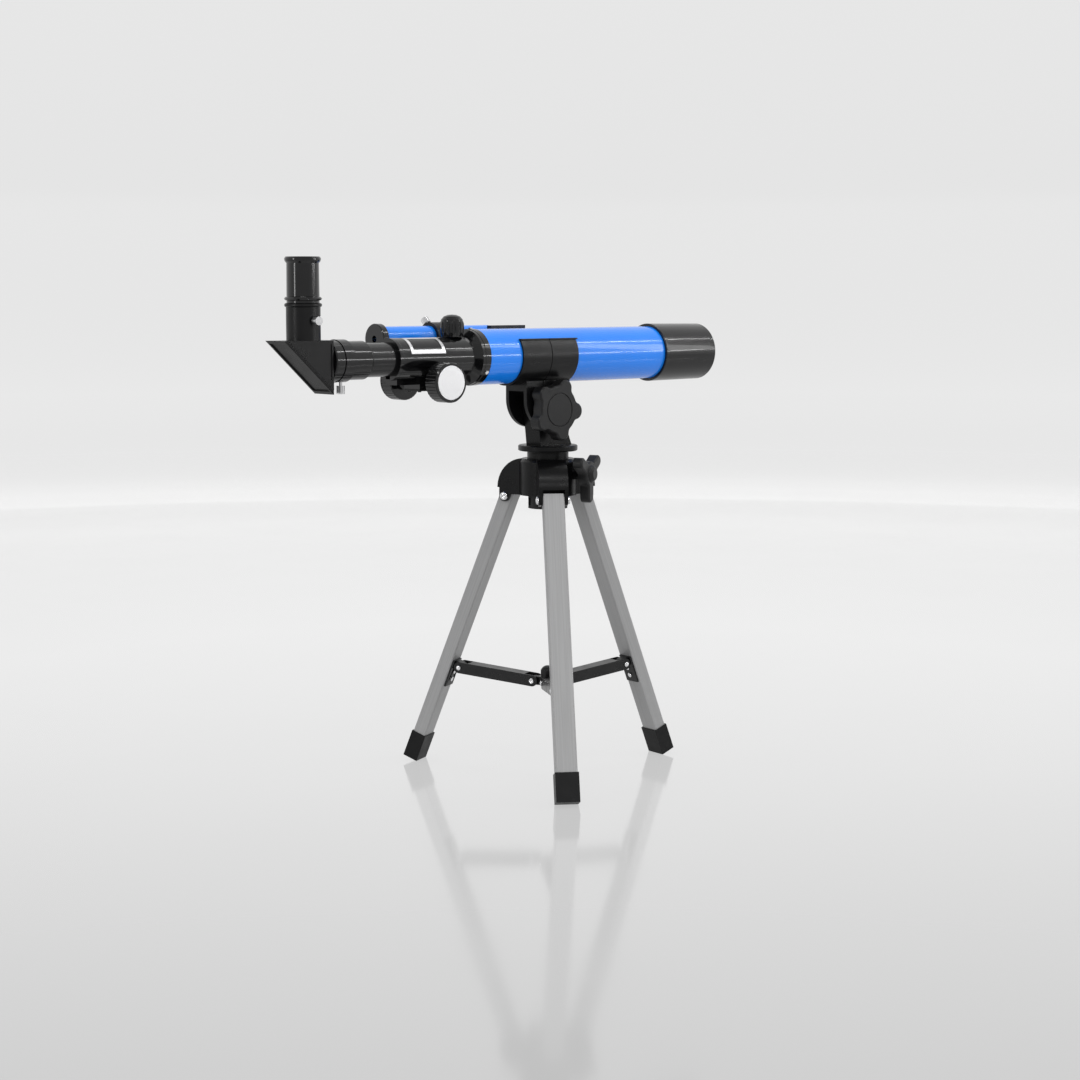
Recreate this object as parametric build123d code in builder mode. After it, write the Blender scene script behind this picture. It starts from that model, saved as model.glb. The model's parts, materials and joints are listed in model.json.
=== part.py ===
from build123d import *
import os
from math import atan2, cos, degrees, hypot, pi, radians, sin

os.makedirs("parts", exist_ok=True)

# Frame: origin on the floor under the pan axis, +Z up, +X along the tube towards the objective,
# -Y on the side of the tilt knob. All sizes in millimetres.

# ---- driving dimensions -------------------------------------------------------------------------
FIT = 0.05                     # radial clearance of a running fit
GAP = 0.3                      # clearance between moving neighbours

TUBE_Z = 440.0                 # height of the optical axis
TUBE_R = 28.0
TUBE_WALL = 1.5
TUBE_REAR = -102.0
TUBE_FRONT = 150.0

LEG_AZIMUTHS = (-125.4, -5.4, 114.6)
LEG_HALF_T = 11.0              # half the leg's width, along the tangent
LEG_HALF_N = 7.3               # half the leg's depth, radially
LEG_WALL = 1.3
PIVOT_R = 43.2
PIVOT_Z = 292.9
FOOT_R = 157.3                 # radius of the centre of a foot's end
FOOT_HALF_T = 12.0
FOOT_HALF_N = 8.4
FOOT_LENGTH = 30.0
FOOT_FLOOR = 3.0
FOOT_END_Z = 3.1               # height of the middle of a foot's end
LEG_TILT = degrees(atan2(FOOT_R - PIVOT_R, PIVOT_Z - FOOT_END_Z))
FOOT_Z = FOOT_HALF_N * sin(radians(LEG_TILT))
LEG_REACH = (PIVOT_Z - FOOT_Z) / cos(radians(LEG_TILT))
LEG_TOP = 5.0                  # how far a leg runs past its pivot
PIN_R = 2.4

CROWN_TOP = 333.0
CROWN_BOTTOM = 295.0
CROWN_CORE_R = 30.0
NECK_R = 21.6
NECK_TOP = 339.0
ARM_HALF_T = 15.0
ARM_R = 51.0
SPINDLE_R = 8.0

HUB_PIN_R = 15.0
HUB_PIN_Z = 97.3
BRACE_PIN_R = 99.9
BRACE_PIN_Z = 105.4
BRACE_HALF_T = 8.3
BRACE_HALF_H = 6.0
BRACE_WALL = 1.5
RIVET_R = 1.8

DISC_R = 31.0
DISC_BOTTOM = 341.0
DISC_TOP = 347.0
TILT_X = -14.0
TILT_Z = 385.0
POST_HALF_Y = 11.0
CHEEK_IN = 11.5
CHEEK_OUT = 16.0
CHEEK_R = 30.0
CHEEK_Z = 395.5
BOLT_R = 4.0
SADDLE_R = 30.0
SADDLE_REAR = -60.0
SADDLE_FRONT = 16.0

DEW_REAR = 145.0
DEW_FRONT = 222.0

BODY_REAR = -211.0
BODY_R = 20.6
RIM_R = 28.5
DRAW_R = 16.6
DRAW_BORE = 14.8
PINION_X = -167.2
PINION_Z = 417.6
MODULE = 0.8
TEETH = 12
PITCH_R = MODULE * TEETH / 2
TOOTH_TIP = 0.6                # addendum
TOOTH_ROOT = 0.8               # dedendum
SHAFT_R = 2.5
KNOB_R = 19.6
KNOB_IN = 27.0
KNOB_OUT = 44.0
LOCK_X = -129.5

NOSE_R = 12.25
COLLAR_REAR = -286.5
COLLAR_FRONT = -264.0
EYE_X = -311.0
DIAG_REAR = -344.0
DIAG_FRONT = -287.5
DIAG_TOP = 460.0
DIAG_BOTTOM = 408.7
DIAG_HALF_Y = 15.4
SOCKET_R = 16.2
SOCKET_TOP = 495.0
EYEPIECE_TOP = 538.0

SCREW_R = 1.6                  # shaft of a thumbscrew

FINDER_Y = 44.0
FINDER_Z = 458.6
FINDER_R = 12.4
FINDER_REAR = -193.0
FINDER_FRONT = -46.0


# ---- helpers ------------------------------------------------------------------------------------
def turn_x(outline, y=0.0, z=TUBE_Z, mode=Mode.ADD):
    """Turns (x, radius) points about a line along X."""
    with BuildSketch(Plane(origin=(0, y, z), x_dir=(1, 0, 0), z_dir=(0, -1, 0))) as profile:
        Polygon(*outline, align=None)
    revolve(profile.sketch, axis=Axis((0, y, z), (1, 0, 0)), mode=mode)


def turn_y(outline, x, z, mode=Mode.ADD):
    """Turns (y, radius) points about a line along Y."""
    with BuildSketch(Plane(origin=(x, 0, z), x_dir=(0, 1, 0), z_dir=(1, 0, 0))) as profile:
        Polygon(*outline, align=None)
    revolve(profile.sketch, axis=Axis((x, 0, z), (0, 1, 0)), mode=mode)


def turn_z(outline, x=0.0, y=0.0, mode=Mode.ADD):
    """Turns (radius, z) points about a vertical line."""
    with BuildSketch(Plane(origin=(x, y, 0), x_dir=(1, 0, 0), z_dir=(0, -1, 0))) as profile:
        Polygon(*outline, align=None)
    revolve(profile.sketch, axis=Axis((x, y, 0), (0, 0, 1)), mode=mode)


def rod(start, end, radius, mode=Mode.ADD):
    """A round rod from one point to another."""
    line = Vector(end) - Vector(start)
    with BuildSketch(Plane(origin=start, z_dir=line)) as profile:
        Circle(radius)
    extrude(profile.sketch, amount=line.length, mode=mode)


def slab(low, high, mode=Mode.ADD):
    """A box from its low corner to its high corner."""
    with BuildSketch(Plane(origin=(low[0], low[1], low[2]))) as profile:
        Rectangle(high[0] - low[0], high[1] - low[1], align=(Align.MIN, Align.MIN))
    extrude(profile.sketch, amount=high[2] - low[2], mode=mode)


def radial_plane(azimuth, tangent=0.0):
    """Upright plane through the pan axis: local x outwards, local y up, normal against the tangent."""
    a = radians(azimuth)
    origin = (-tangent * sin(a), tangent * cos(a), 0)
    return Plane(origin=origin, x_dir=(cos(a), sin(a), 0), z_dir=(sin(a), -cos(a), 0))


def leg_plane(azimuth, along=0.0, normal=0.0):
    """Plane across a leg: local x along the tangent, local y outwards, normal down the leg."""
    a = radians(azimuth)
    t = radians(LEG_TILT)
    down = Vector(sin(t) * cos(a), sin(t) * sin(a), -cos(t))
    out = Vector(cos(t) * cos(a), cos(t) * sin(a), sin(t))
    pivot = Vector(PIVOT_R * cos(a), PIVOT_R * sin(a), PIVOT_Z)
    tangent = Vector(-sin(a), cos(a), 0)
    return Plane(origin=pivot + down * along + out * normal, x_dir=tangent, z_dir=down)


def polar(radius, azimuth, z):
    a = radians(azimuth)
    return (radius * cos(a), radius * sin(a), z)


def thumbscrew(shaft_from, shoulder, top, shaft_r=SCREW_R, head_r=4.2):
    """A thumbscrew with a fluted head, its shaft starting at the first point."""
    line = Vector(top) - Vector(shoulder)
    rod(shaft_from, shoulder, shaft_r)
    rod(shoulder, top, head_r)
    flutes = 14
    with BuildSketch(Plane(origin=shoulder, z_dir=line)) as profile:
        with PolarLocations(head_r + 0.25, flutes):
            Circle(0.55)
    extrude(profile.sketch, amount=line.length, mode=Mode.SUBTRACT)


def save(part, label):
    part.label = label
    export_step(part, f"parts/{label}.step")


# ---- crown --------------------------------------------------------------------------------------
ARM_TOP_R = 22.0               # where the level top of an arm turns into its quarter ellipse
ARM_FOOT_Z = 302.0
ROOF = 2.7
EAR_R = 5.6
EAR_OUT = 48.9
EAR_IN = 37.6
SLOT_HALF_T = LEG_HALF_T + 0.4
SLOT_IN = 29.5
HOLLOW_IN = 14.0
HOLLOW_OUT = 26.5
HOLLOW_ROOF = 329.0
LOCK_AZIMUTH = -65.4
LOCK_Z = 318.0
LOCK_SHAFT_R = 3.0
LOCK_BOSS_R = 6.5
LOCK_KNOB_IN = 38.8

with BuildPart() as crown:
    turn_z([(0, CROWN_BOTTOM), (CROWN_CORE_R, CROWN_BOTTOM), (CROWN_CORE_R, CROWN_TOP - 3),
            (CROWN_CORE_R - 3, CROWN_TOP), (NECK_R, CROWN_TOP), (NECK_R, NECK_TOP), (0, NECK_TOP)])
    for azimuth in LEG_AZIMUTHS:
        with BuildSketch(radial_plane(azimuth)):
            with Locations((ARM_TOP_R, ARM_FOOT_Z)):
                Ellipse(ARM_R - ARM_TOP_R, CROWN_TOP - ARM_FOOT_Z)
            with Locations((0, CROWN_BOTTOM)):
                Rectangle(ARM_TOP_R, CROWN_TOP - CROWN_BOTTOM, align=(Align.MIN, Align.MIN))
                Rectangle(EAR_OUT, ARM_FOOT_Z - CROWN_BOTTOM, align=(Align.MIN, Align.MIN))
            with Locations((0, CROWN_BOTTOM)):
                Rectangle(ARM_R + 9, 40, align=(Align.MIN, Align.MAX), mode=Mode.SUBTRACT)
            with Locations((EAR_OUT, CROWN_BOTTOM)):
                Rectangle(9, ARM_FOOT_Z - CROWN_BOTTOM, align=(Align.MIN, Align.MIN), mode=Mode.SUBTRACT)
            Rectangle(ARM_R + 9, 700, align=(Align.MAX, Align.CENTER), mode=Mode.SUBTRACT)
        extrude(amount=ARM_HALF_T, both=True)
        with BuildSketch(radial_plane(azimuth)):
            with Locations((PIVOT_R, PIVOT_Z)):
                Circle(EAR_R)
            with Locations((EAR_IN, PIVOT_Z)):
                Rectangle(EAR_OUT - EAR_IN, ARM_FOOT_Z - PIVOT_Z, align=(Align.MIN, Align.MIN))
        extrude(amount=ARM_HALF_T, both=True)
    for azimuth in LEG_AZIMUTHS:
        with BuildSketch(radial_plane(azimuth)):
            with Locations((ARM_TOP_R, ARM_FOOT_Z)):
                Ellipse(ARM_R - ARM_TOP_R - ROOF, CROWN_TOP - ARM_FOOT_Z - ROOF)
            with Locations((SLOT_IN, ARM_FOOT_Z)):
                Rectangle(40, 60, align=(Align.MAX, Align.CENTER), mode=Mode.SUBTRACT)
            with Locations((SLOT_IN, ARM_FOOT_Z + 2)):
                Rectangle(40, 60, align=(Align.MIN, Align.MAX))
        extrude(amount=SLOT_HALF_T, both=True, mode=Mode.SUBTRACT)
        with BuildSketch(radial_plane(azimuth)):
            with Locations((PIVOT_R, PIVOT_Z)):
                Circle(PIN_R + FIT)
        extrude(amount=ARM_HALF_T + 1, both=True, mode=Mode.SUBTRACT)
    rod(polar(CROWN_CORE_R - 1, LOCK_AZIMUTH, LOCK_Z), polar(LOCK_KNOB_IN - GAP, LOCK_AZIMUTH, LOCK_Z), LOCK_BOSS_R)
    turn_z([(HOLLOW_IN, CROWN_BOTTOM - 1), (HOLLOW_OUT, CROWN_BOTTOM - 1), (HOLLOW_OUT, HOLLOW_ROOF),
            (HOLLOW_IN, HOLLOW_ROOF)], mode=Mode.SUBTRACT)
    rod((0, 0, CROWN_BOTTOM - 1), (0, 0, NECK_TOP + 1), SPINDLE_R + FIT, mode=Mode.SUBTRACT)
    rod(polar(SPINDLE_R, LOCK_AZIMUTH, LOCK_Z), polar(ARM_R, LOCK_AZIMUTH, LOCK_Z),
        LOCK_SHAFT_R + FIT, mode=Mode.SUBTRACT)
save(crown.part, "crown")

SKIRT_OUT = 20.5
SKIRT_IN = 18.0
SKIRT_BOTTOM = 281.0
with BuildPart() as hub_skirt:
    turn_z([(SKIRT_IN, SKIRT_BOTTOM), (SKIRT_OUT, SKIRT_BOTTOM), (SKIRT_OUT, HOLLOW_ROOF),
            (SKIRT_IN, HOLLOW_ROOF)])
    with BuildSketch(Plane.XY.offset(SKIRT_BOTTOM + 3)):
        with PolarLocations(SKIRT_OUT, 9):
            Rectangle(9, 5)
    extrude(amount=8, mode=Mode.SUBTRACT)
    rod(polar(SKIRT_IN - 4, LOCK_AZIMUTH, LOCK_Z), polar(SKIRT_OUT + 4, LOCK_AZIMUTH, LOCK_Z),
        LOCK_SHAFT_R + GAP, mode=Mode.SUBTRACT)
save(hub_skirt.part, "hub_skirt")

PIN_HEAD_R = 4.2
PIN_HEAD = 1.4
with BuildPart() as leg_pins:
    for azimuth in LEG_AZIMUTHS:
        with BuildSketch(radial_plane(azimuth)):
            with Locations((PIVOT_R, PIVOT_Z)):
                Circle(PIN_R)
        extrude(amount=ARM_HALF_T, both=True)
        for side in (-1, 1):
            with BuildSketch(radial_plane(azimuth, side * (ARM_HALF_T + PIN_HEAD / 2))):
                with Locations((PIVOT_R, PIVOT_Z)):
                    Circle(PIN_HEAD_R)
            extrude(amount=PIN_HEAD / 2, both=True)
save(leg_pins.part, "leg_pins")

LOCK_KNOB_OUT = 49.4
LOCK_DOME_OUT = 53.5
LOCK_DOME_R = 9.0
LOCK_LOBE_R = 6.0
LOCK_LOBE_AT = 24.0
LOCK_HUB_R = 13.0
LOCK_TURN = 30.0
lock_face = Plane(origin=polar(LOCK_KNOB_IN, LOCK_AZIMUTH, LOCK_Z),
                  x_dir=(-sin(radians(LOCK_AZIMUTH)), cos(radians(LOCK_AZIMUTH)), 0),
                  z_dir=polar(1, LOCK_AZIMUTH, 0))
with BuildPart() as pan_lock_knob:
    with BuildSketch(lock_face):
        Circle(LOCK_HUB_R)
        with PolarLocations(LOCK_LOBE_AT, 3, start_angle=LOCK_TURN):
            Circle(LOCK_LOBE_R)
        with PolarLocations(LOCK_LOBE_AT / 2, 3, start_angle=LOCK_TURN):
            Rectangle(LOCK_LOBE_AT, 2 * LOCK_LOBE_R)
        fillet(vertices(), 4.0)
    extrude(amount=LOCK_KNOB_OUT - LOCK_KNOB_IN)
    chamfer(faces().sort_by(Axis(lock_face.origin, lock_face.z_dir))[-1].edges(), 1.5)
    rod(polar(LOCK_KNOB_OUT - 1, LOCK_AZIMUTH, LOCK_Z), polar(LOCK_DOME_OUT, LOCK_AZIMUTH, LOCK_Z), LOCK_DOME_R)
    chamfer(faces().sort_by(Axis(lock_face.origin, lock_face.z_dir))[-1].edges(), 3.0)
    rod(polar(SPINDLE_R + 1, LOCK_AZIMUTH, LOCK_Z), polar(LOCK_KNOB_IN, LOCK_AZIMUTH, LOCK_Z), LOCK_SHAFT_R)
save(pan_lock_knob.part, "pan_lock_knob")

# ---- legs ---------------------------------------------------------------------------------------
PLATE_TOP = 190.0              # along the leg, from its pivot
PLATE_BOTTOM = 221.0
PLATE_HALF_T = 9.0
PLATE_THICK = 2.0
LUG_HALF_T = 5.0
LUG_R = 5.0
RIVETS_ALONG = (204.0, 213.0)
RIVET_HEAD = 1.0
PLATE_RIVET = 1.2              # height of the rivet heads on a bracket's plate
RIVET_HEAD_R = 2.6
dr = BRACE_PIN_R - PIVOT_R
dz = BRACE_PIN_Z - PIVOT_Z
tilt = radians(LEG_TILT)
PIN_ALONG = dr * sin(tilt) - dz * cos(tilt)
PIN_NORMAL = dr * cos(tilt) + dz * sin(tilt)

for number, azimuth in enumerate(LEG_AZIMUTHS, 1):
    with BuildPart() as leg:
        with BuildSketch(leg_plane(azimuth, -LEG_TOP)):
            RectangleRounded(2 * LEG_HALF_T, 2 * LEG_HALF_N, 1.5)
            Rectangle(2 * (LEG_HALF_T - LEG_WALL), 2 * (LEG_HALF_N - LEG_WALL), mode=Mode.SUBTRACT)
        extrude(amount=LEG_TOP + LEG_REACH - FOOT_FLOOR)
        with BuildSketch(radial_plane(azimuth)):
            with Locations((PIVOT_R, PIVOT_Z)):
                Circle(PIN_R + FIT)
        extrude(amount=ARM_HALF_T, both=True, mode=Mode.SUBTRACT)
    save(leg.part, f"leg_{number}")

    with BuildPart() as foot:
        with BuildSketch(leg_plane(azimuth, LEG_REACH - FOOT_LENGTH)):
            Rectangle(2 * FOOT_HALF_T, 2 * FOOT_HALF_N)
        extrude(amount=FOOT_LENGTH)
        with BuildSketch(leg_plane(azimuth, LEG_REACH - FOOT_LENGTH)):
            RectangleRounded(2 * LEG_HALF_T, 2 * LEG_HALF_N, 1.5)
        extrude(amount=FOOT_LENGTH - FOOT_FLOOR, mode=Mode.SUBTRACT)
    save(foot.part, f"foot_{number}")

    with BuildPart() as leg_bracket:
        with BuildSketch(leg_plane(azimuth, PLATE_TOP)):
            with Locations((0, -LEG_HALF_N)):
                Rectangle(2 * PLATE_HALF_T, PLATE_THICK, align=(Align.CENTER, Align.MAX))
        extrude(amount=PLATE_BOTTOM - PLATE_TOP)
        with BuildSketch(leg_plane(azimuth, PIN_ALONG - LUG_R)):
            with Locations((0, PIN_NORMAL)):
                Rectangle(2 * LUG_HALF_T, -LEG_HALF_N - PIN_NORMAL, align=(Align.CENTER, Align.MIN))
        extrude(amount=2 * LUG_R)
        with BuildSketch(radial_plane(azimuth)):
            with Locations((BRACE_PIN_R, BRACE_PIN_Z)):
                Circle(LUG_R)
        extrude(amount=LUG_HALF_T, both=True)
        with BuildSketch(radial_plane(azimuth)):
            with Locations((BRACE_PIN_R, BRACE_PIN_Z)):
                Circle(RIVET_R + FIT)
        extrude(amount=LUG_HALF_T + 1, both=True, mode=Mode.SUBTRACT)
    save(leg_bracket.part, f"leg_bracket_{number}")

    with BuildPart() as bracket_pins:
        with BuildSketch(radial_plane(azimuth)):
            with Locations((BRACE_PIN_R, BRACE_PIN_Z)):
                Circle(RIVET_R)
        extrude(amount=BRACE_HALF_T, both=True)
        for side in (-1, 1):
            with BuildSketch(radial_plane(azimuth, side * (BRACE_HALF_T + 0.1 + RIVET_HEAD / 2))):
                with Locations((BRACE_PIN_R, BRACE_PIN_Z)):
                    Circle(RIVET_HEAD_R)
            extrude(amount=RIVET_HEAD / 2, both=True)
        for along in RIVETS_ALONG:
            face = leg_plane(azimuth, along, -LEG_HALF_N - PLATE_THICK).origin
            rod(face, leg_plane(azimuth, along, -LEG_HALF_N - PLATE_THICK - PLATE_RIVET).origin, RIVET_HEAD_R)
    save(bracket_pins.part, f"bracket_pins_{number}")

# ---- spreader -----------------------------------------------------------------------------------
rise = BRACE_PIN_Z - HUB_PIN_Z
run = BRACE_PIN_R - HUB_PIN_R
BRACE_SPAN = hypot(rise, run)
WEB_INSET = 9.5                # the top of a brace stops short of its pins
HUB_R = 7.0
TONGUE_HALF_T = 4.5
TONGUE_R = 4.5

for number, azimuth in enumerate(LEG_AZIMUTHS, 1):
    a = radians(azimuth)
    along = (run * cos(a), run * sin(a), rise)
    brace_frame = Plane(origin=polar(HUB_PIN_R, azimuth, HUB_PIN_Z), x_dir=along, z_dir=(sin(a), -cos(a), 0))
    with BuildPart() as brace:
        with BuildSketch(brace_frame):
            with Locations((BRACE_SPAN / 2, 0)):
                SlotCenterToCenter(BRACE_SPAN, 2 * BRACE_HALF_H)
            with Locations((BRACE_SPAN, 0)):
                Circle(RIVET_R + FIT, mode=Mode.SUBTRACT)
        extrude(amount=BRACE_HALF_T, both=True)
        with BuildSketch(brace_frame):
            Circle(RIVET_HEAD_R)
        extrude(amount=BRACE_HALF_T + RIVET_HEAD, both=True)
        with BuildSketch(brace_frame):
            Rectangle(4 * BRACE_SPAN, 2 * BRACE_HALF_H + 2)
            with Locations((BRACE_SPAN / 2, BRACE_HALF_H)):
                Rectangle(BRACE_SPAN - 2 * WEB_INSET, 2 * BRACE_WALL, mode=Mode.SUBTRACT)
        extrude(amount=BRACE_HALF_T - BRACE_WALL, both=True, mode=Mode.SUBTRACT)
    save(brace.part, f"brace_{number}")

HUB_TOP = HUB_PIN_Z + 7
with BuildPart() as spreader_hub:
    rod((0, 0, HUB_PIN_Z - 5), (0, 0, HUB_TOP), HUB_R)
    for azimuth in LEG_AZIMUTHS:
        with BuildSketch(radial_plane(azimuth)):
            with Locations((0, HUB_PIN_Z)):
                Rectangle(HUB_PIN_R, 2 * TONGUE_R, align=(Align.MIN, Align.CENTER))
            with Locations((HUB_PIN_R, HUB_PIN_Z)):
                Circle(TONGUE_R)
                Circle(RIVET_R + FIT, mode=Mode.SUBTRACT)
        extrude(amount=TONGUE_HALF_T, both=True)
save(spreader_hub.part, "spreader_hub")

CAP_R = HUB_R + 0.4
CAP_HEIGHT = 9.5
DOME_R = 8.0
with BuildPart() as hub_cap:
    rod((0, 0, HUB_TOP), (0, 0, HUB_TOP + CAP_HEIGHT), CAP_R)
    with Locations((0, 0, HUB_TOP + CAP_HEIGHT - DOME_R)):
        Sphere(DOME_R, mode=Mode.INTERSECT)
save(hub_cap.part, "hub_cap")

with BuildPart() as hub_pins:
    for azimuth in LEG_AZIMUTHS:
        with BuildSketch(radial_plane(azimuth)):
            with Locations((HUB_PIN_R, HUB_PIN_Z)):
                Circle(RIVET_R)
        extrude(amount=BRACE_HALF_T - BRACE_WALL - GAP, both=True)
save(hub_pins.part, "hub_pins")

# ---- head ---------------------------------------------------------------------------------------
NUT_Z = 288.0
with BuildPart() as pan_head:
    turn_z([(0, NUT_Z), (5, NUT_Z), (5, CROWN_BOTTOM), (SPINDLE_R, CROWN_BOTTOM), (SPINDLE_R, NECK_TOP),
            (NECK_R - 0.6, NECK_TOP), (NECK_R - 0.6, DISC_BOTTOM), (DISC_R - 1, DISC_BOTTOM),
            (DISC_R, DISC_BOTTOM + 1), (DISC_R, DISC_TOP - 1), (DISC_R - 1, DISC_TOP), (0, DISC_TOP)])
    with BuildSketch(Plane.XZ):
        Polygon((-20, DISC_TOP - 1), (24, DISC_TOP - 1), (17, TILT_Z - 22), (TILT_X + 11.4, TILT_Z + 3),
                (TILT_X - 11.4, TILT_Z + 3), (-22, TILT_Z - 22), align=None)
        with Locations((TILT_X, TILT_Z)):
            Circle(12)
    extrude(amount=POST_HALF_Y, both=True)
    with BuildSketch(Plane.XZ):
        Polygon((16, DISC_TOP - 1), (30.5, DISC_TOP - 1), (30.5, DISC_TOP), (20, DISC_TOP + 11), align=None)
    extrude(amount=3, both=True)
    rod((TILT_X, -20, TILT_Z), (TILT_X, 20, TILT_Z), BOLT_R + FIT, mode=Mode.SUBTRACT)
save(pan_head.part, "pan_head")

with BuildPart() as pan_retainer:
    with BuildSketch(Plane.XY.offset(NUT_Z + 1)):
        RegularPolygon(10, 6)
        Circle(5 + FIT, mode=Mode.SUBTRACT)
    extrude(amount=CROWN_BOTTOM - NUT_Z - 1 - FIT)
save(pan_retainer.part, "pan_retainer")

LIP_HEIGHT = 18.0              # how far the saddle's bands reach above the tube's axis
LIP_IN = 23.0
LIP_OUT = 25.6
CHEEK_ROOF_Z = TUBE_Z - 20     # the cheeks run up into the bands
CHEEK_FLOOR_Z = 404.0          # underside of the block between the cheeks
CHEEK_RIM = 4.0
CHEEK_RECESS = 1.0
CHEEK_BOSS_R = 9.0
SEAM_X = -21.0                 # the groove between the two bands
with BuildPart() as saddle:
    with BuildSketch(Plane.YZ.offset(SADDLE_REAR)):
        with Locations((0, TUBE_Z)):
            Circle(SADDLE_R)
            with Locations((0, LIP_HEIGHT)):
                Rectangle(3 * SADDLE_R, SADDLE_R, align=(Align.CENTER, Align.MIN), mode=Mode.SUBTRACT)
    extrude(amount=SADDLE_FRONT - SADDLE_REAR)
    slab((SADDLE_REAR + 3, 24, TUBE_Z + 8), (-10, 30.6, TUBE_Z + 30.8))
    for side in (-1, 1):
        low_y = min(side * LIP_IN, side * LIP_OUT)
        slab((SADDLE_REAR, low_y, TUBE_Z + LIP_HEIGHT - 1.5),
             (SADDLE_FRONT + 2, low_y + LIP_OUT - LIP_IN, TUBE_Z + LIP_HEIGHT))
    for side in (-1, 1):
        face_y = CHEEK_IN if side > 0 else -CHEEK_OUT
        with BuildSketch(Plane.XZ.offset(-face_y)):
            with Locations((TILT_X, CHEEK_Z)):
                Circle(CHEEK_R)
                Rectangle(2 * CHEEK_R, CHEEK_ROOF_Z - CHEEK_Z, align=(Align.CENTER, Align.MIN))
        extrude(amount=-(CHEEK_OUT - CHEEK_IN))
        with BuildSketch(Plane.XZ.offset(-side * CHEEK_OUT)):
            with Locations((TILT_X, CHEEK_Z)):
                Circle(CHEEK_R - CHEEK_RIM)
                Rectangle(2 * (CHEEK_R - CHEEK_RIM), 2 * CHEEK_RIM, align=(Align.CENTER, Align.MIN))
            with Locations((TILT_X, TILT_Z)):
                Circle(CHEEK_BOSS_R, mode=Mode.SUBTRACT)
        extrude(amount=side * CHEEK_RECESS, mode=Mode.SUBTRACT)
    slab((TILT_X - CHEEK_R, -CHEEK_OUT, CHEEK_FLOOR_Z), (TILT_X + CHEEK_R, CHEEK_OUT, CHEEK_ROOF_Z))
    rod((SADDLE_REAR - 1, 0, TUBE_Z), (SADDLE_FRONT + 1, 0, TUBE_Z), TUBE_R, mode=Mode.SUBTRACT)
    turn_x([(SEAM_X - 0.4, SADDLE_R - 0.6), (SEAM_X + 0.4, SADDLE_R - 0.6), (SEAM_X + 0.4, SADDLE_R + 5),
            (SEAM_X - 0.4, SADDLE_R + 5)], mode=Mode.SUBTRACT)
    rod((TILT_X, -20, TILT_Z), (TILT_X, 20, TILT_Z), BOLT_R + FIT, mode=Mode.SUBTRACT)
save(saddle.part, "saddle")

with BuildPart() as tilt_nut:
    with BuildSketch(Plane(origin=(TILT_X, CHEEK_OUT, TILT_Z), z_dir=(0, 1, 0))):
        RegularPolygon(8, 6)
        Circle(BOLT_R + FIT, mode=Mode.SUBTRACT)
    extrude(amount=5)
save(tilt_nut.part, "tilt_nut")

TILT_KNOB_IN = 20.6
TILT_KNOB_OUT = 33.5
LOBES = 5
LOBE_AT = 24.0
LOBE_R = 8.5
KNOB_CORE_R = 25.0
tilt_face = Plane(origin=(TILT_X, -TILT_KNOB_IN, TILT_Z), x_dir=(1, 0, 0), z_dir=(0, -1, 0))
with BuildPart() as tilt_knob:
    with BuildSketch(tilt_face):
        Circle(KNOB_CORE_R)
        with PolarLocations(LOBE_AT, LOBES, start_angle=-5):
            Circle(LOBE_R)
        fillet(vertices(), 6)
    extrude(amount=TILT_KNOB_OUT - TILT_KNOB_IN)
    chamfer(faces().sort_by(Axis.Y)[0].edges(), 1.5)
    with BuildSketch(Plane.XZ.offset(TILT_KNOB_OUT)):
        with Locations((TILT_X, TILT_Z)):
            Circle(17.5)
            Circle(16.5, mode=Mode.SUBTRACT)
    extrude(amount=-0.8, mode=Mode.SUBTRACT)
    rod((TILT_X, -TILT_KNOB_IN, TILT_Z), (TILT_X, -CHEEK_OUT - GAP, TILT_Z), 14)
    rod((TILT_X, -CHEEK_OUT, TILT_Z), (TILT_X, -TILT_KNOB_OUT + 4, TILT_Z), BOLT_R, mode=Mode.SUBTRACT)
save(tilt_knob.part, "tilt_knob")

with BuildPart() as tilt_bolt:
    rod((TILT_X, -TILT_KNOB_OUT + 4, TILT_Z), (TILT_X, CHEEK_OUT + 7, TILT_Z), BOLT_R)
save(tilt_bolt.part, "tilt_bolt")

# ---- tube ---------------------------------------------------------------------------------------
with BuildPart() as main_tube:
    turn_x([(TUBE_REAR, TUBE_R - TUBE_WALL), (TUBE_REAR, TUBE_R), (TUBE_FRONT, TUBE_R),
            (TUBE_FRONT, TUBE_R - TUBE_WALL)])
save(main_tube.part, "main_tube")

DEW_IN = 28.9
with BuildPart() as dew_shield:
    turn_x([(DEW_REAR, TUBE_R + FIT), (DEW_REAR, 30.4), (DEW_REAR + 0.8, 31), (DEW_FRONT - 1, 30.3),
            (DEW_FRONT, 29.8), (DEW_FRONT, 28), (DEW_FRONT - 3, 28), (DEW_FRONT - 4, DEW_IN),
            (TUBE_FRONT, DEW_IN), (TUBE_FRONT, TUBE_R + FIT)])
save(dew_shield.part, "dew_shield")

CELL_FRONT = 172.0
LENS_R = 25.0
LENS_REAR = 158.0
LENS_EDGE = 162.0
LENS_BULGE = 2.0
LENS_CURVE = (LENS_R ** 2 + LENS_BULGE ** 2) / (2 * LENS_BULGE)
with BuildPart() as objective_cell:
    turn_x([(TUBE_FRONT - 10, 24.2), (TUBE_FRONT - 10, TUBE_R - TUBE_WALL - FIT),
            (TUBE_FRONT, TUBE_R - TUBE_WALL - FIT), (TUBE_FRONT, DEW_IN - FIT), (CELL_FRONT, DEW_IN - FIT),
            (CELL_FRONT, LENS_R + FIT), (LENS_REAR, LENS_R + FIT), (LENS_REAR, 23.5), (TUBE_FRONT, 23.5)])
save(objective_cell.part, "objective_cell")

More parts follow.
